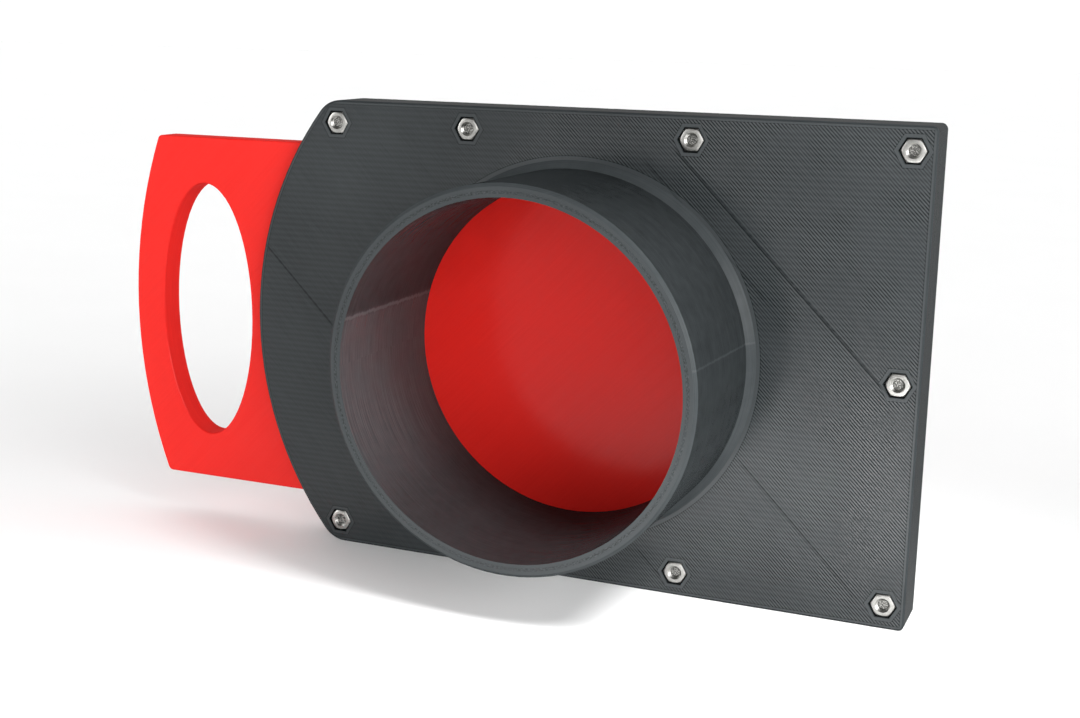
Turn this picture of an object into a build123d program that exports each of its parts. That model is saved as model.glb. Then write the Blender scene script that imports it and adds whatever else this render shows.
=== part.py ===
"""Sliding blast gate for a 110 mm dust-extraction duct, printed in plastic and held with M4 hardware.

Two mirrored housing halves clamp together around a flat slot. Each half carries a round collar on
the duct axis. A gate plate slides in the slot along X and closes the duct; its handle end stands out
at the left and has an oval finger hole. Nine screws go in from the rear into nuts set in the front.

Millimetres. +X runs away from the handle, +Y runs from the front collar to the rear one, +Z is up.
The origin is on the duct axis, in the plane of the front housing's flat face.
"""
from build123d import *
import os
from math import sqrt

# Duct and collars
pipe_diameter = 110.0        # outside of the duct pipe that plugs into either collar
pipe_clearance = 0.25        # radial room between the pipe and the bore
collar_wall = 4.2
collar_length = 53.5         # from the housing's face to the rim
collar_root = 2.5            # bevel where the collar meets the face
rim_chamfer = 1.0            # outer edge of the rim

# Gate plate and the slot it runs in
gate_thickness = 9.0
gate_face_play = 0.2         # on each face of the gate
gate_edge_play = 0.3         # above, below and beyond the end of the gate
gate_overlap = 7.0           # how far the gate covers the housing above and below the bore
gate_corner = 2.0            # outline corners of the handle end
gate_edge_break = 0.3        # broken edges all round the gate

# Housing halves
face_wall = 4.0              # wall between the slot and the outer face
rail_width = 15.0            # solid rail above and below the slot
end_rail_width = 13.8        # solid rail beyond the closed end of the slot
plate_right = 112.5          # duct axis to the closed end of the housing
plate_arc_radius = 118.7     # rounded left end, about the duct axis
left_corner = 10.0           # outline corners next to the rounded end
right_corner = 2.0
plate_edge_break = 0.6       # broken edge round each outer face

# Handle
handle_gap = 5.7             # housing to the finger hole
grip_width = 37.2            # finger hole, across
grip_height = 92.0           # finger hole, up and down
handle_rim = 11.9            # plate left beyond the finger hole

# M4 fasteners
thread_diameter = 4.0
thread_play = 0.03           # radial, screw in nut
screw_hole_play = 0.2        # radial, screw in housing
screw_tip_recess = 1.4       # screw end below the front face
screw_tip_chamfer = 0.45
screw_head_diameter = 7.6
screw_head_height = 2.2
screw_head_round = 1.6
socket_flats = 2.5
socket_depth = 1.3
nut_flats = 7.0
nut_height = 3.2
nut_recess = 0.2             # nut below the front face
nut_pocket_play = 0.25       # between each flat of the nut and its pocket
nut_bevel_diameter = 6.7     # circle in the nut's face where the bevel of its corners starts
nut_bevel_angle = 30.0       # from the nut's face
nut_countersink = 0.35
inner_screw_x = 38.0         # middle screws, either side of the duct axis
left_screw_margin = 7.4      # left screws, in from the rounded end

# Sizes that follow
bore_radius = pipe_diameter / 2 + pipe_clearance
collar_radius = bore_radius + collar_wall
gate_height = 2 * (bore_radius + gate_overlap)
slot_height = gate_height + 2 * gate_edge_play
slot_depth = gate_thickness / 2 + gate_face_play
slot_end = plate_right - end_rail_width
gate_end = slot_end - gate_edge_play
half_thickness = face_wall + slot_depth
full_thickness = 2 * half_thickness
plate_height = slot_height + 2 * rail_width
gate_front = face_wall + gate_face_play
grip_x = -(plate_arc_radius + handle_gap + grip_width / 2)
handle_radius = plate_arc_radius + handle_gap + grip_width + handle_rim
rail_z = (slot_height + rail_width) / 2
right_screw_x = (plate_right + slot_end) / 2
left_screw_x = -sqrt((plate_arc_radius - left_screw_margin) ** 2 - rail_z ** 2)
screw_length = full_thickness - screw_tip_recess
screw_radius = thread_diameter / 2 - thread_play

# Fastener places in the face of the housing: four along each rail and one in the end rail
fasteners = {"end": (right_screw_x, 0)}
for number, x in enumerate((left_screw_x, -inner_screw_x, inner_screw_x, right_screw_x), start=1):
    fasteners[f"top_{number}"] = (x, rail_z)
    fasteners[f"bottom_{number}"] = (x, -rail_z)


def upright(depth):
    """The plane facing the front, at this depth behind the front face."""
    return Plane.XZ.offset(-depth)


def edges_at(part, depth):
    """The edges that lie wholly at one depth behind the front face."""
    return part.edges().filter_by_position(Axis.Y, depth - 0.001, depth + 0.001)


def save(part, node):
    """Label one finished piece and write it under its node's name."""
    part.label = node
    export_step(part, f"parts/{node}.step")


def housing_half():
    """What both halves share, in the front half's place: plate, slot, collar, bore and screw holes."""
    with BuildPart() as half:
        with BuildSketch(upright(0)) as outline:
            Circle(plate_arc_radius)
            with Locations((-plate_arc_radius / 2, 0)):
                Rectangle(plate_arc_radius, plate_height, mode=Mode.INTERSECT)
            with Locations((plate_right / 2, 0)):
                Rectangle(plate_right, plate_height)
            fillet(outline.vertices().group_by(Axis.X)[0], left_corner)
            fillet(outline.vertices().group_by(Axis.X)[-1], right_corner)
        extrude(amount=-half_thickness)
        chamfer(edges_at(half, 0), plate_edge_break)
        with BuildSketch(upright(0)):
            Circle(collar_radius)
        extrude(amount=collar_length)
        chamfer(edges_at(half, -collar_length), rim_chamfer)
        root = edges_at(half, 0).filter_by(GeomType.CIRCLE).sort_by(SortBy.RADIUS)
        chamfer(root.filter_by(lambda edge: abs(edge.radius - collar_radius) < 0.001), collar_root)
        with BuildSketch(upright(half_thickness)):
            with Locations(((slot_end - plate_arc_radius) / 2, 0)):
                Rectangle(slot_end + plate_arc_radius, slot_height)
        extrude(amount=slot_depth, mode=Mode.SUBTRACT)
        with BuildSketch(upright(half_thickness)):
            Circle(bore_radius)
            with Locations(*fasteners.values()):
                Circle(thread_diameter / 2 + screw_hole_play)
        extrude(amount=half_thickness + collar_length, mode=Mode.SUBTRACT)
    return half.part


os.makedirs("parts", exist_ok=True)

# Front half: a hex pocket in its face at every screw
with BuildPart() as front_housing:
    add(housing_half())
    with BuildSketch(upright(0)):
        with Locations(*fasteners.values()):
            RegularPolygon(nut_flats / 2 + nut_pocket_play, 6, major_radius=False)
    extrude(amount=-(nut_recess + nut_height), mode=Mode.SUBTRACT)
save(front_housing.part, "front_housing")

# Rear half: the front half's shape turned to face the other way, with plain screw holes
with BuildPart() as rear_housing:
    add(housing_half())
    mirror(about=upright(half_thickness), mode=Mode.REPLACE)
save(rear_housing.part, "rear_housing")

# Gate: a flat blade, its handle end rounded about the duct axis and pierced for the fingers
with BuildPart() as slide_gate:
    with BuildSketch(upright(gate_front)) as blade:
        Circle(handle_radius)
        with Locations(((gate_end - handle_radius) / 2, 0)):
            Rectangle(gate_end + handle_radius, gate_height, mode=Mode.INTERSECT)
        fillet(blade.vertices().group_by(Axis.X)[0], gate_corner)
        with Locations((grip_x, 0)):
            Ellipse(grip_width / 2, grip_height / 2, mode=Mode.SUBTRACT)
    extrude(amount=-gate_thickness)
    chamfer(edges_at(slide_gate, gate_front), gate_edge_break)
    chamfer(edges_at(slide_gate, gate_front + gate_thickness), gate_edge_break)
save(slide_gate.part, "slide_gate")

# Nine hex nuts, one in each pocket, with bevelled corners on the outer face
for place, (x, z) in fasteners.items():
    with BuildPart() as nut:
        with BuildSketch(upright(nut_recess)):
            with Locations((x, z)):
                RegularPolygon(nut_flats / 2, 6, major_radius=False)
        extrude(amount=-nut_height)
        with BuildSketch(upright(nut_recess)):
            with Locations((x, z)):
                Circle(nut_bevel_diameter / 2)
        extrude(amount=-nut_height, taper=nut_bevel_angle - 90, mode=Mode.INTERSECT)
        with BuildSketch(upright(nut_recess)):
            with Locations((x, z)):
                Circle(thread_diameter / 2)
        extrude(amount=-nut_height, mode=Mode.SUBTRACT)
        bore_mouths = nut.edges().filter_by(GeomType.CIRCLE).group_by(SortBy.RADIUS)[0]
        chamfer(bore_mouths, nut_countersink)
    save(nut.part, f"nut_{place}")

# Nine button-head screws from the rear, their ends just short of the front face
for place, (x, z) in fasteners.items():
    with BuildPart() as screw:
        with BuildSketch(upright(full_thickness)):
            with Locations((x, z)):
                Circle(screw_radius)
        extrude(amount=screw_length)
        chamfer(edges_at(screw, screw_tip_recess), screw_tip_chamfer)
        with BuildSketch(upright(full_thickness)):
            with Locations((x, z)):
                Circle(screw_head_diameter / 2)
        extrude(amount=-screw_head_height)
        fillet(edges_at(screw, full_thickness + screw_head_height), screw_head_round)
        with BuildSketch(upright(full_thickness + screw_head_height)):
            with Locations((x, z)):
                RegularPolygon(socket_flats / 2, 6, major_radius=False)
        extrude(amount=socket_depth, mode=Mode.SUBTRACT)
    save(screw.part, f"screw_{place}")

print(f"housing {plate_height:.1f} high, {full_thickness:.1f} thick; bore {2 * bore_radius:.1f}; "
      f"gate travel to clear the bore {gate_end + bore_radius:.1f}; screw length {screw_length:.1f}")
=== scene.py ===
"""Sliding blast gate for a 110 mm dust duct: two dark grey printed housing halves with round collars,
a red printed gate plate between them, and nine steel screws with hex nuts.

Metres, in the frame of the CAD model: +X away from the handle, +Y to the rear, +Z up.
"""
import math
import bpy
import numpy as np
from mathutils import Matrix, Vector


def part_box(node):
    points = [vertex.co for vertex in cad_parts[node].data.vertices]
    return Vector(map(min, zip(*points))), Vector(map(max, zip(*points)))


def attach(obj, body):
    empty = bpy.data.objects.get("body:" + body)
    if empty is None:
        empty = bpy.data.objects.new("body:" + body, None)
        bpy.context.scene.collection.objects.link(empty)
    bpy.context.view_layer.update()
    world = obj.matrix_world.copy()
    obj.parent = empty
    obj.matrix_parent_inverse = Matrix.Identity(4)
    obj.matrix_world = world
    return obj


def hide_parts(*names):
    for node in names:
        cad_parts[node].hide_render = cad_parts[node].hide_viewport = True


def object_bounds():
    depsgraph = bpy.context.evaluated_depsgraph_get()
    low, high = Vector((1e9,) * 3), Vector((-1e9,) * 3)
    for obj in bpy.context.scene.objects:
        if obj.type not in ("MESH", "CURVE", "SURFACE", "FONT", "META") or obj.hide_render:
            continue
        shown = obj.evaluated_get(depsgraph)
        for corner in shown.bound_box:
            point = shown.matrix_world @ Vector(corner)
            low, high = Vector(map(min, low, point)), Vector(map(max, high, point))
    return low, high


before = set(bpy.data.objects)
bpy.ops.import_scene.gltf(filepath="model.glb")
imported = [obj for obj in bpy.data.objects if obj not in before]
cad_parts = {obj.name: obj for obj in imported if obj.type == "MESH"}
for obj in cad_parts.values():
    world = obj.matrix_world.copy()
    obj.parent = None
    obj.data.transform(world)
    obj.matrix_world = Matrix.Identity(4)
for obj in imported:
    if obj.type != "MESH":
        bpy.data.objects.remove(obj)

cad_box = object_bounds()


# Housing. Two dark grey plastic prints, each a plate with a round collar, clamped together round the
# gate. Each was printed with its collar upwards: the face is a top layer of slanting beads inside
# a few perimeter lines, and the walls show thin layers and a seam where each layer starts.
class Socket:
    """One output of a node. Arithmetic on it adds Math nodes, and node() adds a node of any other kind."""

    def __init__(self, tree, output):
        self.tree = tree
        self.output = output

    def node(self, kind, settings=None, inputs=None, output=0):
        """Adds a node from its type, its settings, and the values or sockets of its inputs."""
        made = self.tree.nodes.new(kind)
        for name, value in (settings or {}).items():
            if name == "stops":
                while len(made.color_ramp.elements) < len(value):
                    made.color_ramp.elements.new(1.0)
                for element, (position, shade) in zip(made.color_ramp.elements, value):
                    element.position = position
                    element.color = (*shade, 1.0)
            else:
                setattr(made, name, value)
        for name, value in (inputs or {}).items():
            if isinstance(value, Socket):
                self.tree.links.new(value.output, made.inputs[name])
            else:
                made.inputs[name].default_value = value
        return Socket(self.tree, made.outputs[output] if len(made.outputs) else None)

    def math(self, operation, *others):
        return self.node("ShaderNodeMath", {"operation": operation}, dict(enumerate((self, *others))))

    def __add__(self, other):
        return self.math("ADD", other)

    def __radd__(self, other):
        return self.math("ADD", other)

    def __sub__(self, other):
        return self.math("SUBTRACT", other)

    def __rsub__(self, other):
        return self.node("ShaderNodeMath", {"operation": "SUBTRACT"}, {0: other, 1: self})

    def __mul__(self, other):
        return self.math("MULTIPLY", other)

    def __rmul__(self, other):
        return self.math("MULTIPLY", other)

    def __truediv__(self, other):
        return self.math("DIVIDE", other)

    def __abs__(self):
        return self.math("ABSOLUTE")

    def rise(self, start, end):
        """Smooth step from 0 at start to 1 at end; a falling one where start is the larger."""
        return self.node("ShaderNodeMapRange", {"interpolation_type": "SMOOTHSTEP"},
                         {"Value": self, "From Min": start, "From Max": end})

    def bead(self, flatness=4.0):
        """Beads side by side, one for each whole number: 1 less a power of the way out from the middle."""
        return 1 - abs(self.math("FRACT") * 2 - 1).math("POWER", flatness)

    def noise(self, across, along, detail=2.0):
        """Noise over the plane of two numbers, from 0 to 1."""
        at = self.node("ShaderNodeCombineXYZ", None, {0: across, 1: along})
        return self.node("ShaderNodeTexNoise", {"noise_dimensions": "2D"},
                         {"Vector": at, "Scale": 1.0, "Detail": detail})

    def parts(self):
        """The X, Y and Z of a vector."""
        split = self.node("ShaderNodeSeparateXYZ", None, {0: self})
        return [Socket(self.tree, output) for output in split.output.node.outputs]

    def blend(self, first, second):
        """Colour or number between first and second, by this factor."""
        return self.node("ShaderNodeMix", {"data_type": "RGBA"}, {0: self, 6: first, 7: second}, 2)


def new_finish(name):
    """A material with no shader yet, and the three coordinates of its point in millimetres."""
    material = bpy.data.materials.new(name)
    material.use_nodes = True
    material.node_tree.nodes.clear()
    start = Socket(material.node_tree, None)
    coordinates = start.node("ShaderNodeTexCoord", output="Object")
    millimetres = start.node("ShaderNodeVectorMath", {"operation": "SCALE"},
                             {0: coordinates, "Scale": 1000.0})
    return material, *millimetres.parts()


def facing_along_y(start):
    """How squarely the surface faces the front or the rear: 1 on a flat face, 0 on a wall."""
    normal = start.node("ShaderNodeTexCoord", output="Normal")
    return abs(normal.parts()[1])


def finish_surface(start, colour, roughness, height, bump_depth, **uniform):
    """Principled surface whose height, in shares of bump_depth metres, turns into its normal."""
    normal = start.node("ShaderNodeBump", None, {"Strength": 1.0, "Distance": bump_depth, "Height": height})
    inputs = {"Base Color": colour, "Roughness": roughness, "Normal": normal}
    inputs.update({name.replace("_", " "): value for name, value in uniform.items()})
    shader = start.node("ShaderNodeBsdfPrincipled", None, inputs)
    start.node("ShaderNodeOutputMaterial", None, {"Surface": shader})


BEAD = 0.41                # width of a printed bead, millimetres
LAYER = 0.2                # height of a printed layer
BAND = 1.94                # height of the faint level bands across a face
PERIMETERS = 1.25          # width of the perimeter lines along every contour of a face
BEAD_RELIEF = 0.00003      # depth of the housing's texture, metres
SLANT = math.sqrt(0.5)     # turns x + z or x - z into a distance across or along the slanting beads
PLASTIC_SHEEN = {"Specular_IOR_Level": 0.0, "Coat_Roughness": 0.18, "Coat_IOR": 1.9}
NUT_FLATS = 7.0
POCKET_FLATS = NUT_FLATS + 0.5

front_low, front_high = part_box("front_housing")
RIGHT = front_high.x * 1000
TOP = front_high.z * 1000
ARC = -front_low.x * 1000
COLLAR_LENGTH = 53.5
COLLAR_ROOT = 61.95        # radius where the collar's bevelled root meets the face
WALL_MIDDLE = 57.25        # radius that parts the collar's outside from its bore
PLATE_START = 63.0         # radius past which a wall is the plate's edge
PLATE_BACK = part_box("rear_housing")[1].y * 1000 - COLLAR_LENGTH
OUTER_START = 8.2          # where every layer starts on the collar's outside, degrees
OUTER_LEAN = 0.032         # degrees that it moves round with each millimetre of depth
INNER_START = 164.5        # where every layer starts in the bore, degrees

# Where a face's slanting fill was started against a pocket or the collar: its place across the
# beads (x + z), its first and last place along them (x - z), and how clearly it shows.
FILL_SEAMS = (
    (99.8, -36.0, 108.0, 0.55),
    (86.2, -42.0, 44.0, 0.3),
    (28.3, 85.0, 170.0, 0.3),
    (-38.8, 86.0, 108.0, 0.3),
    (-88.5, -150.0, -60.0, 0.35),
)


def pocket_distance(x, z):
    """Distance over the face from the nearest nut pocket's centre, measured square to its flats."""
    nearest = None
    for column in ("top_1", "top_2", "top_3", "top_4", "end"):
        low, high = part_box("nut_" + column)
        centre = (low + high) * 500
        across = abs(x - centre.x)
        up = abs(abs(z) - centre.z)
        slanted = across * math.sqrt(0.75) + up * 0.5
        distance = slanted.math("MAXIMUM", up)
        nearest = distance if nearest is None else nearest.math("MINIMUM", distance)
    return nearest


def housing_finish(name, face, outward):
    """Dark grey printed plastic for the half whose outer face is at this depth and looks that way in Y."""
    material, x, y, z = new_finish(name)
    facing = facing_along_y(x)
    out = (y - face) * outward
    radius = (x * x + z * z).math("SQRT")
    angle = z.math("ARCTAN2", x)
    flat = facing.rise(0.85, 0.95)
    plate = flat * out.rise(1.0, 0.5)
    rim = flat * out.rise(0.5, 1.0)
    bevel = facing.rise(0.4, 0.6) * (1 - flat)
    wall = 1 - flat

    # Slanting beads over the face, laid in pairs there and back
    wander = x.noise(x * 0.15, z * 0.15)
    across = (x + z) * (SLANT / BEAD) + wander * 0.25
    along = (x - z) * SLANT
    fill = across.bead(8.0)
    pair = (across * math.pi).math("SINE") * 0.5 + 0.5
    streak = x.noise(across.math("FLOOR") * 0.7, along * 0.06)
    ripple = x.noise((across * 0.5).math("FLOOR") * 1.7, along * 0.7)
    band = (z * (2 * math.pi / BAND)).math("SINE") * 0.5 + 0.5
    top = pair.rise(0.2, 0.8)

    # The lines stand out in patches, and fade towards the handle. In the colour this is painted sheen:
    # lighter bead tops and darker grooves, strongest on the side away from the handle where the face
    # catches the light
    patch = x.noise(x * 0.06, z * 0.06).rise(0.35, 0.65)
    clearness_and_painted_sheen = x.rise(-60.0, 20.0) * (0.6 + patch * 0.6)

    # Perimeter lines along the outline, the pockets and the collar
    rounded_end = ARC - radius + x.rise(-5.0, 5.0) * ARC
    outline = (RIGHT - x).math("MINIMUM", TOP - abs(z)).math("MINIMUM", rounded_end)
    contour = outline.math("MINIMUM", pocket_distance(x, z) - POCKET_FLATS / 2)
    contour = contour.math("MINIMUM", radius - COLLAR_ROOT)
    perimeter = contour.rise(PERIMETERS + 0.1, PERIMETERS - 0.1)
    ring = (contour / BEAD).bead(8.0)
    groove = contour.rise(PERIMETERS - 0.2, PERIMETERS) * contour.rise(PERIMETERS + 0.3, PERIMETERS + 0.1)

    # Seams of the fill, with blobs along them
    blob = x.noise(along * 0.8, across * 0.05)
    seam = groove * 0.4
    for place, first, last, strength in FILL_SEAMS:
        off = abs(x + z - place) * SLANT - blob * 0.35
        reach = (x - z).rise(first, first + 6) * (x - z).rise(last, last - 6)
        seam = seam.math("MAXIMUM", off.rise(0.3, 0.0) * reach * strength)

    # Layers up every wall, and the ragged line where each layer starts
    layer = out / LAYER
    layer_streak = x.noise(angle * 2.0, layer.math("FLOOR") * 0.9)
    ragged = x.noise(out * 1.1, radius * 0.01) * 1.6 - 0.8
    outside = radius.rise(WALL_MIDDLE - 0.25, WALL_MIDDLE + 0.25)
    outer_angle = out * math.radians(OUTER_LEAN) + math.radians(OUTER_START)
    outer_start = abs((angle - outer_angle) * radius + ragged * 0.4)
    inner_start = abs((angle - math.radians(INNER_START)) * radius + ragged)
    start_line = outside * outer_start.rise(0.5, 0.15) * out.rise(-0.5, 0.0) * 0.25
    start_line = start_line + (1 - outside) * inner_start.rise(0.9, 0.2)
    # Glossier streaks in the bore on the handle's side, from the start line downwards; their colour is also
    # painted lighter, a painted sheen
    shiny_and_painted_sheen = (1 - outside) * z.rise(17.0, 13.0) * z.rise(-60.0, -10.0) * x.rise(-30.0, -45.0)
    wall_blotch = x.noise(angle * 14.0, out * 0.25)

    # Concentric lines of the rim, with a speckled one in the middle
    rings = (radius / BEAD).bead(8.0)
    middle = radius.rise(WALL_MIDDLE - 1.15, WALL_MIDDLE - 0.75)
    middle = middle * radius.rise(WALL_MIDDLE + 0.25, WALL_MIDDLE - 0.15)
    speckle = x.noise(angle * 70.0, radius * 3.0)

    # Height, in shares of the bump depth
    fill_height = fill * 0.35 + pair * (0.35 + ripple * 0.5)
    face_height = perimeter * ring * 0.5 + (1 - perimeter) * fill_height
    face_height = face_height - seam * 1.5
    wall_height = layer.bead(2.0) * 1.2 + layer_streak * (1.0 + shiny_and_painted_sheen * 3.0) + start_line * 4.0
    height = plate * face_height + rim * (rings * 0.5 + middle * speckle * 2.0) + wall * wall_height

    # Shade of the plastic, from dark in the grooves to light on the bead tops
    cloud = x.noise(x * 0.02, z * 0.02, 3.0)
    fill_shade = (top - 0.62) * clearness_and_painted_sheen * 0.45 + streak * 0.15 + band * 0.08 + 0.3
    face_shade = (1 - perimeter) * fill_shade + perimeter * 0.6 - seam * 0.6
    # Painted shade: the plate's edge faces are painted darker, and the collar's outside darker than its
    # bore
    side = radius.rise(PLATE_START - 0.5, PLATE_START + 0.5) * 0.1
    wall_shade = layer_streak * (0.3 + shiny_and_painted_sheen * 0.8) + wall_blotch * 0.15 + start_line * 0.6 + bevel * 0.3
    wall_shade = wall_shade - side - outside * 0.1 + 0.07
    rim_shade = rings * 0.1 + 0.42 + middle * (speckle * 1.2 - 0.72)
    shade = plate * face_shade + rim * rim_shade + wall * wall_shade + (cloud - 0.5) * 0.3
    # Painted shade: a dark line along the lips of the nut pockets, where shade falls into the gaps round
    # the nuts
    painted_gap_shade = contour.rise(0.35, 0.05) * outline.rise(1.0, 2.0) * radius.rise(PLATE_START, PLATE_START + 1)
    shade = shade - plate * painted_gap_shade * 0.5
    colour = x.node("ShaderNodeValToRGB", {"stops": (
        (0.0, (0.0080, 0.0095, 0.0100)),
        (0.5, (0.0330, 0.0375, 0.0395)),
        (1.0, (0.0600, 0.0670, 0.0700)),
    )}, {0: shade})
    roughness = plate * (0.4 + streak * 0.1 + seam * 0.2) + rim * 0.4 + wall * (0.5 + layer_streak * 0.2)

    # Gloss, most on the bead tops, so the lines show where they reflect something bright
    sparkle = clearness_and_painted_sheen * (top * (0.1 + ripple * 1.3) - 0.2) + 0.2
    gloss = plate * ((1 - perimeter) * sparkle * (1 - seam) + perimeter * 0.25 - painted_gap_shade * 0.3)
    gloss_streak = x.noise(angle * 2.5, out * 1.7, 3.0)
    bore_gloss = (1 - outside) * gloss_streak.rise(0.3, 0.7) * (0.1 + shiny_and_painted_sheen * 0.3)
    gloss = gloss + rim * 0.2 + wall * (0.15 - side * 0.3 - bevel * 0.1 + bore_gloss)
    gloss = gloss.math("MINIMUM", 0.75).math("MAXIMUM", 0.0)
    finish_surface(x, colour, roughness, height, BEAD_RELIEF, Coat_Weight=gloss, **PLASTIC_SHEEN)
    return material


for node, face, outward in (("front_housing", 0.0, -1.0), ("rear_housing", PLATE_BACK, 1.0)):
    finish = housing_finish(node + "_plastic", face, outward)
    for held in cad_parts[node].material_slots:
        held.material = finish


# Gate plate. One flat red print that slides in the housing's slot, with a rounded handle end and an
# oval finger hole. It was printed flat, so its faces are smooth and its edges show the layers.
GATE_RELIEF = 0.00002      # depth of the gate's texture, metres


def gate_finish():
    """Red printed plastic, nearly smooth on the faces and layered on the edges."""
    material, x, y, z = new_finish("gate_plastic")
    facing = facing_along_y(x)
    flat = facing.rise(0.85, 0.95)
    wall = 1 - flat
    radius = (x * x + z * z).math("SQRT")
    angle = z.math("ARCTAN2", x)
    wander = x.noise(x * 0.15, z * 0.15)
    across = (x - z) * (SLANT / BEAD) + wander * 0.3
    along = (x + z) * SLANT
    fill = across.bead()
    streak = x.noise(across.math("FLOOR") * 0.7, along * 0.03)
    low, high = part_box("slide_gate")
    outline = (high.z * 1000 - abs(z)).math("MINIMUM", -low.x * 1000 - radius)
    perimeter = outline.rise(PERIMETERS + 0.1, PERIMETERS - 0.1)
    ring = (outline / BEAD).bead()
    layer = (y - low.y * 1000) / LAYER
    layer_streak = x.noise(angle * 6.0, layer.math("FLOOR") * 0.9)
    height = flat * ((1 - perimeter) * fill * 0.3 + perimeter * ring * 0.3 + streak * 0.2)
    height = height + wall * (layer.bead() * 0.8 + layer_streak * 0.8)
    cloud = x.noise(x * 0.015, z * 0.015, 3.0)
    # The walls' layer streaks are the print's own; their darker red than the faces is painted shade
    shade = flat * (streak * 0.3 + fill * 0.1 + 0.35) + wall * (layer_streak * 0.6 + 0.1)
    shade = shade + (cloud - 0.5) * 0.3
    colour = x.node("ShaderNodeValToRGB", {"stops": (
        (0.0, (0.52, 0.010, 0.008)),
        (0.5, (0.66, 0.016, 0.012)),
        (1.0, (0.76, 0.023, 0.017)),
    )}, {0: shade})
    roughness = flat * (0.32 + streak * 0.1) + wall * (0.36 + layer_streak * 0.15)
    gloss = flat * (0.1 + streak * 0.1) + wall * 0.06
    finish_surface(x, colour, roughness, height, GATE_RELIEF, Coat_Weight=gloss, **PLASTIC_SHEEN)
    return material


red_plastic = gate_finish()
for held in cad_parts["slide_gate"].material_slots:
    held.material = red_plastic


# Nuts. Nine M4 hex nuts in bright steel, pressed into pockets in the front face so that they can't
# turn, each with bevelled corners and a thread cut through it.
# Between these depths the steel is rougher and painted darker, a painted shade down in the nuts' bores
DULL_AND_SHADED_FROM = 0.8            # depths between which the steel is dull, behind the front face
DULL_AND_SHADED_TO = 8.0
STEEL_RELIEF = 0.00001     # depth of the tool marks, metres


def steel_finish():
    """Bright steel with fine tool marks that run round each piece's own axis."""
    material, x, y, z = new_finish("steel")
    turn, rise = x.node("ShaderNodeUVMap", {"uv_map": "turned"}).parts()[:2]
    marks = x.noise(turn * 6.0, rise * 900.0, 3.0)
    spots = x.noise(x * 1.3 + y * 0.7, z * 1.3, 4.0)
    colour = x.node("ShaderNodeValToRGB", {"stops": (
        (0.0, (0.24, 0.24, 0.225)),
        (0.6, (0.45, 0.445, 0.425)),
        (1.0, (0.64, 0.635, 0.61)),
    )}, {0: marks * 0.5 + spots * 0.5})
    # Duller down in the threads, and darker there as painted shade in the nuts' bores and on the screw ends
    # inside them, left out in flecks on the screws' sheared ends
    dull_and_shaded = y.rise(DULL_AND_SHADED_FROM, DULL_AND_SHADED_FROM + 0.5) * y.rise(DULL_AND_SHADED_TO + 1, DULL_AND_SHADED_TO)
    flecks = x.noise(x * 2.6 + y, z * 2.6, 2.0).rise(0.48, 0.6)
    colour = (dull_and_shaded * (1 - flecks) * 0.85).blend(colour, (0.035, 0.034, 0.032, 1.0))
    roughness = 0.2 + marks * 0.15 + spots * 0.12 + dull_and_shaded * 0.1
    finish_surface(x, colour, roughness, marks * 0.6 + spots * 0.4, STEEL_RELIEF, Metallic=1.0)
    return material


steel = steel_finish()
THREAD_PITCH = 0.7
THREAD_CREST = 1.97        # radius of the screw's crests
THREAD_DEPTH = 0.4
NUT_THREAD_PLAY = 0.04     # radial room between the nut's thread and the screw's
THREAD_STEEPNESS = 1.35    # of the straight-sided wave
CREST_FLAT = 0.12          # share of the wave that is cut off as a flat crest
SHARP_FROM = 32            # degrees between two faces whose edge stays sharp


def hex_radius(angle, flats):
    """Distance from the centre of a hexagon to its outline: half its flats over the cosine of the angle
    from the nearest flat's middle. Its corners are at 0, 60, 120 degrees and so on."""
    sixth = math.pi / 3
    return flats / 2 / np.cos(np.mod(angle, sixth) - sixth / 2)


def thread_radius(angle, depth):
    """Right-hand thread: the radius falls and rises once in each pitch, a straight-sided wave that
    turns once round the axis for each pitch along it, with flat crests."""
    turns = np.mod(-depth / THREAD_PITCH - angle / (2 * math.pi), 1.0)
    wave = np.clip(np.abs(turns * 2 - 1) * THREAD_STEEPNESS - CREST_FLAT, 0.0, 1.0)
    return THREAD_CREST - THREAD_DEPTH * wave


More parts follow.
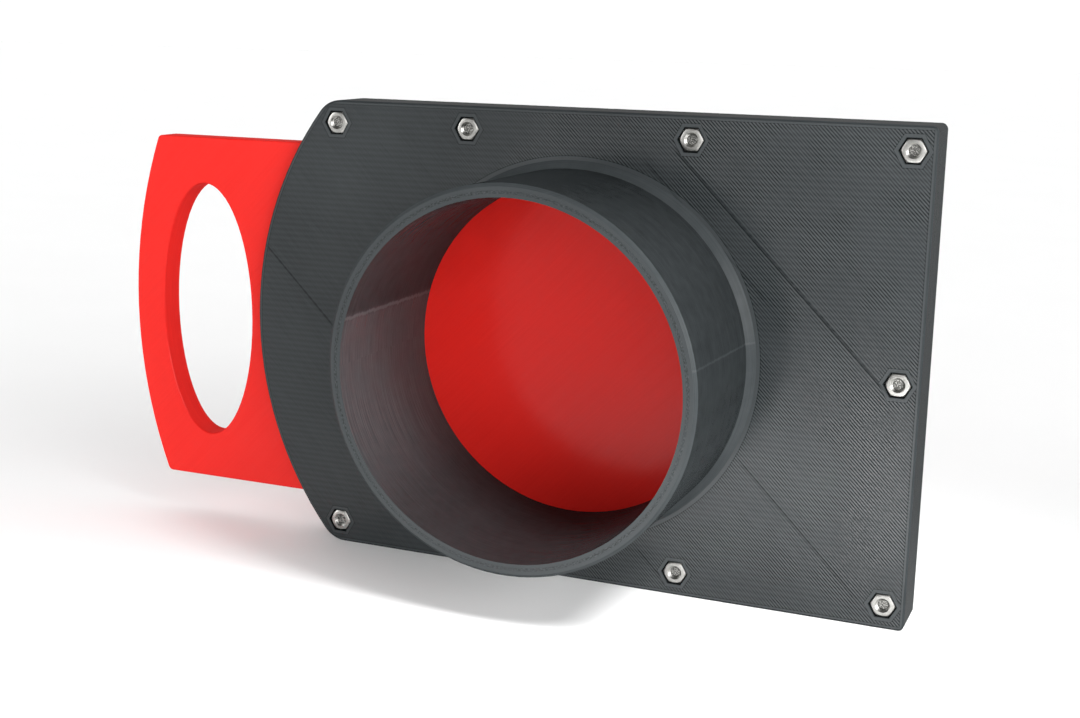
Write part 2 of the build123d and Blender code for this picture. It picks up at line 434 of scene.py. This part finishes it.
def turned_piece(name, centre, angle, radius, depth, closed):
    """Surface on a grid of rows along a profile and columns round an axis parallel to Y. A point stands
    at its radius from the axis, at its angle and depth. Closed rows join last to first; open ones end
    in a fan on the axis. Radius and depth are in millimetres, and centre in metres."""
    rows, columns = radius.shape
    points = np.stack((radius * np.cos(angle), depth, radius * np.sin(angle)), axis=-1).reshape(-1, 3)
    row = np.arange(rows if closed else rows - 1)[:, None]
    column = np.arange(columns)[None, :]
    above = (row + 1) % rows
    beside = (column + 1) % columns
    corners = (row * columns + column, above * columns + column,
               above * columns + beside, row * columns + beside)
    quads = np.stack(np.broadcast_arrays(*corners), axis=-1).reshape(-1, 4)
    turn = np.stack(np.broadcast_arrays(column, column, column + 1, column + 1), axis=-1) / columns
    turn = np.broadcast_to(turn, (len(row), columns, 4)).reshape(-1)
    rise = np.stack(np.broadcast_arrays(row, row + 1, row + 1, row), axis=-1) / rows
    rise = np.broadcast_to(rise, (len(row), columns, 4)).reshape(-1)
    faces = quads.tolist()
    if not closed:
        first = len(points)
        ends = np.array([[0, depth[0].mean(), 0], [0, depth[-1].mean(), 0]])
        points = np.vstack((points, ends))
        around = np.arange(columns)
        ahead = (around + 1) % columns
        last = (rows - 1) * columns
        start_fan = np.stack((around, ahead, np.full(columns, first)), axis=-1)
        end_fan = np.stack((last + ahead, last + around, np.full(columns, first + 1)), axis=-1)
        faces += start_fan.tolist() + end_fan.tolist()
        fan_turn = np.stack((around, around + 1, around + 0.5), axis=-1) / columns
        turn = np.concatenate((turn, fan_turn.reshape(-1), fan_turn[:, [1, 0, 2]].reshape(-1)))
        rise = np.concatenate((rise, np.zeros(columns * 3), np.ones(columns * 3)))
    mesh = bpy.data.meshes.new(name)
    mesh.from_pydata((points * 0.001 + np.array((centre.x, 0.0, centre.z))).tolist(), [], faces)
    uv = mesh.uv_layers.new(name="turned")
    uv.data.foreach_set("uv", np.stack((turn, rise), axis=-1).astype(np.float32).reshape(-1))
    mesh.polygons.foreach_set("use_smooth", np.ones(len(faces), bool))
    mesh.set_sharp_from_angle(angle=math.radians(SHARP_FROM))
    mesh.materials.append(steel)
    piece = bpy.data.objects.new(name, mesh)
    bpy.context.scene.collection.objects.link(piece)
    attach(piece, "housing")
    return piece


FASTENERS = ("end", "top_1", "top_2", "top_3", "top_4", "bottom_1", "bottom_2", "bottom_3", "bottom_4")
NUT_BEVEL_START = 3.2      # radius where a nut's flat face turns into the bevel at its corners
NUT_BEVEL_SLOPE = 0.58
NUT_BEVEL_EASE = 0.4       # share of the bevel's drop halfway out
NUT_MOUTH = 2.3            # radius of the countersink in each face of a nut
NUT_PITCHES = 5            # pitches' worth of rows through a nut
NUT_SIDES = 96             # columns round a nut
ROWS_PER_PITCH = 8

for place in FASTENERS:
    low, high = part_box("nut_" + place)
    front = low.y * 1000
    back = high.y * 1000
    angle = np.linspace(0, 2 * math.pi, NUT_SIDES, endpoint=False)[None, :]
    hexagon = hex_radius(angle, NUT_FLATS)
    bore_depth = np.linspace(back, front, ROWS_PER_PITCH * NUT_PITCHES)[:, None]
    to_face = np.minimum(bore_depth - front, back - bore_depth)
    bore_radius = thread_radius(angle, bore_depth) + NUT_THREAD_PLAY
    bore_radius = np.maximum(bore_radius, NUT_MOUTH - to_face)
    drop = NUT_BEVEL_SLOPE * (hexagon - NUT_BEVEL_START)
    spread = np.ones_like(angle)
    outside_radius = np.vstack((NUT_BEVEL_START * spread, (NUT_BEVEL_START + hexagon) / 2, hexagon,
                                hexagon, (NUT_BEVEL_START + hexagon) / 2, NUT_BEVEL_START * spread))
    outside_depth = np.vstack((front * spread, front + drop * NUT_BEVEL_EASE, front + drop,
                               back - drop, back - drop * NUT_BEVEL_EASE, back * spread))
    radius = np.vstack((bore_radius, outside_radius))
    depth = np.vstack((bore_depth * spread, outside_depth))
    nut = turned_piece("hex_nut_" + place, (low + high) / 2, angle, radius, depth, True)
    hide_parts("nut_" + place)


# Screws. Nine M4 button-head screws in bright steel, put in from the rear; each thread ends just
# below the front of its nut, with a small bevel at the tip.
SOCKET_FLATS = 2.5
SOCKET_DEPTH = 1.3
SOCKET_BEVEL = 0.15
SOCKET_DISH = 0.1          # how far the socket's floor falls towards its middle
HEAD_ROUND = 1.6
TIP_RADIUS = 1.5           # flat end of the thread, inside its bevel
TIP_DISHES = ((0.5, 0.06), (0.93, 0.02))    # share of the tip's radius, and how hollow it is there
SCREW_SIDES = 48           # columns round a screw

for place in FASTENERS:
    low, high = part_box("screw_" + place)
    tip = low.y * 1000
    top = high.y * 1000
    head_radius = (high.x - low.x) * 500
    angle = np.linspace(0, 2 * math.pi, SCREW_SIDES, endpoint=False)[None, :]
    spread = np.ones_like(angle)
    turns = (PLATE_BACK - tip) / THREAD_PITCH
    shank_depth = np.linspace(tip, PLATE_BACK, int(turns * ROWS_PER_PITCH))[:, None]
    shank_radius = np.minimum(thread_radius(angle, shank_depth), TIP_RADIUS + shank_depth - tip)
    arc = np.linspace(0, math.pi / 2, 9)[:, None]
    dome_radius = head_radius - HEAD_ROUND * (1 - np.cos(arc))
    dome_depth = top - HEAD_ROUND * (1 - np.sin(arc))
    socket = hex_radius(angle, SOCKET_FLATS)
    radius = np.vstack((
        *(TIP_RADIUS * share * spread for share, hollow in TIP_DISHES), shank_radius,
        head_radius * spread, dome_radius * spread,
        socket + SOCKET_BEVEL, socket, socket, socket * 0.35))
    depth = np.vstack((
        *((tip + hollow) * spread for share, hollow in TIP_DISHES), shank_depth * spread,
        PLATE_BACK * spread, dome_depth * spread,
        top * spread, (top - SOCKET_BEVEL) * spread, (top - SOCKET_DEPTH + SOCKET_DISH) * spread,
        (top - SOCKET_DEPTH) * spread))
    screw = turned_piece("button_screw_" + place, (low + high) / 2, angle, radius, depth, False)
    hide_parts("screw_" + place)


# Floor and light. White paper under the gate, softly lit walls round it, a white backdrop behind
# it, and two soft boxes that light the paper in front.
FLOOR_REACH = 6.0
floor_level = cad_box[0].z
corner_signs = ((-1, -1), (1, -1), (1, 1), (-1, 1))
floor_corners = [(x * FLOOR_REACH, y * FLOOR_REACH, floor_level) for x, y in corner_signs]
floor_mesh = bpy.data.meshes.new("floor")
floor_mesh.from_pydata(floor_corners, [], [(0, 1, 2, 3)])
floor = bpy.data.objects.new("floor", floor_mesh)
bpy.context.scene.collection.objects.link(floor)
floor_material, x, y, z = new_finish("floor_paper")
paper = x.noise(x * 0.01, y * 0.01, 3.0)
whiteness = paper.blend((0.92, 0.92, 0.92, 1.0), (0.94, 0.94, 0.94, 1.0))
finish_surface(x, whiteness, 0.8 + paper * 0.1, paper, 0.00001)
floor_mesh.materials.append(floor_material)

world = bpy.data.worlds.new("studio")
bpy.context.scene.world = world
world.use_nodes = True
world.node_tree.nodes.clear()
BACKDROP = 1.04            # brightness behind the gate
RIGHT_WALL = 8.4           # brightness of the walls before it
FRONT_RIGHT = 2.6
FRONT_LEFT = 0.5
LEFT_WALL = 5.4
WALL_CORNER = 45           # bearing where a side wall meets a front one, degrees
CORNER_BLEND = 10
MIDDLE_BLEND = 8
start = Socket(world.node_tree, None)
to_right, to_rear, to_top = start.node("ShaderNodeTexCoord", output="Generated").parts()
behind = to_rear.rise(-0.2, 0.2)
ceiling = to_top.rise(0.3, 0.7)
bearing = to_right.math("ARCTAN2", 0 - to_rear)
corner = math.radians(WALL_CORNER - CORNER_BLEND), math.radians(WALL_CORNER + CORNER_BLEND)
on_right = bearing.rise(corner[0], corner[1])
right_half = bearing.rise(-math.radians(MIDDLE_BLEND), math.radians(MIDDLE_BLEND))
on_left = bearing.rise(-corner[0], -corner[1])
walls = on_right * RIGHT_WALL + (1 - on_right) * right_half * FRONT_RIGHT
walls = walls + on_left * LEFT_WALL + (1 - on_left) * (1 - right_half) * FRONT_LEFT
before = (1 - ceiling) * walls
glow = start.node("ShaderNodeBackground", None,
                  {"Color": (1.0, 1.0, 1.0, 1.0), "Strength": behind * BACKDROP + (1 - behind) * before})
start.node("ShaderNodeOutputWorld", None, {"Surface": glow})

# Each soft box: its place, the point it looks at, the length of its sides, its power and its spread
SOFT_BOXES = {
    "front_box": ((0.16, -0.30, 0.50), (0.09, -0.24, -0.0775), 0.15, 0.2, 50),
    "floor_box": ((0.30, -0.22, 0.35), (0.12, -0.14, -0.0775), 0.12, 0.6, 60),
}
for name, (place, target, side, power, spread) in SOFT_BOXES.items():
    light = bpy.data.lights.new(name, "AREA")
    light.size = side
    light.energy = power
    light.spread = math.radians(spread)
    box = bpy.data.objects.new(name, light)
    box.location = place
    box.rotation_euler = (Vector(target) - box.location).to_track_quat("-Z", "Y").to_euler()
    box.visible_glossy = False    # no hard glints of the boxes in the plastic
    bpy.context.scene.collection.objects.link(box)


# Camera. In front of the gate, to its right and above it, tipped by a degree. Metres and degrees.
AZIMUTH = math.radians(22.594)
ELEVATION = math.radians(12.357)
ROLL = math.radians(1.091)
ASIDE = -0.009988
ABOVE = -0.002506
AWAY = 0.511555
SENSOR_WIDTH = 36.0
LENS = 52.417
back = np.array((math.sin(AZIMUTH) * math.cos(ELEVATION), -math.cos(AZIMUTH) * math.cos(ELEVATION),
                 math.sin(ELEVATION)))
level = np.array((math.cos(AZIMUTH), math.sin(AZIMUTH), 0.0))
upward = np.cross(back, level)
right = level * math.cos(ROLL) + upward * math.sin(ROLL)
up = upward * math.cos(ROLL) - level * math.sin(ROLL)
place = right * ASIDE + up * ABOVE + back * AWAY
camera = bpy.data.objects.new("camera", bpy.data.cameras.new("camera"))
camera.data.sensor_width = SENSOR_WIDTH
camera.data.lens = LENS
camera.data.clip_start = 0.01
camera.matrix_world = Matrix([[right[i], up[i], back[i], place[i]] for i in range(3)] + [[0, 0, 0, 1]])
bpy.context.scene.collection.objects.link(camera)
bpy.context.scene.camera = camera
bpy.context.scene.view_settings.view_transform = "Standard"
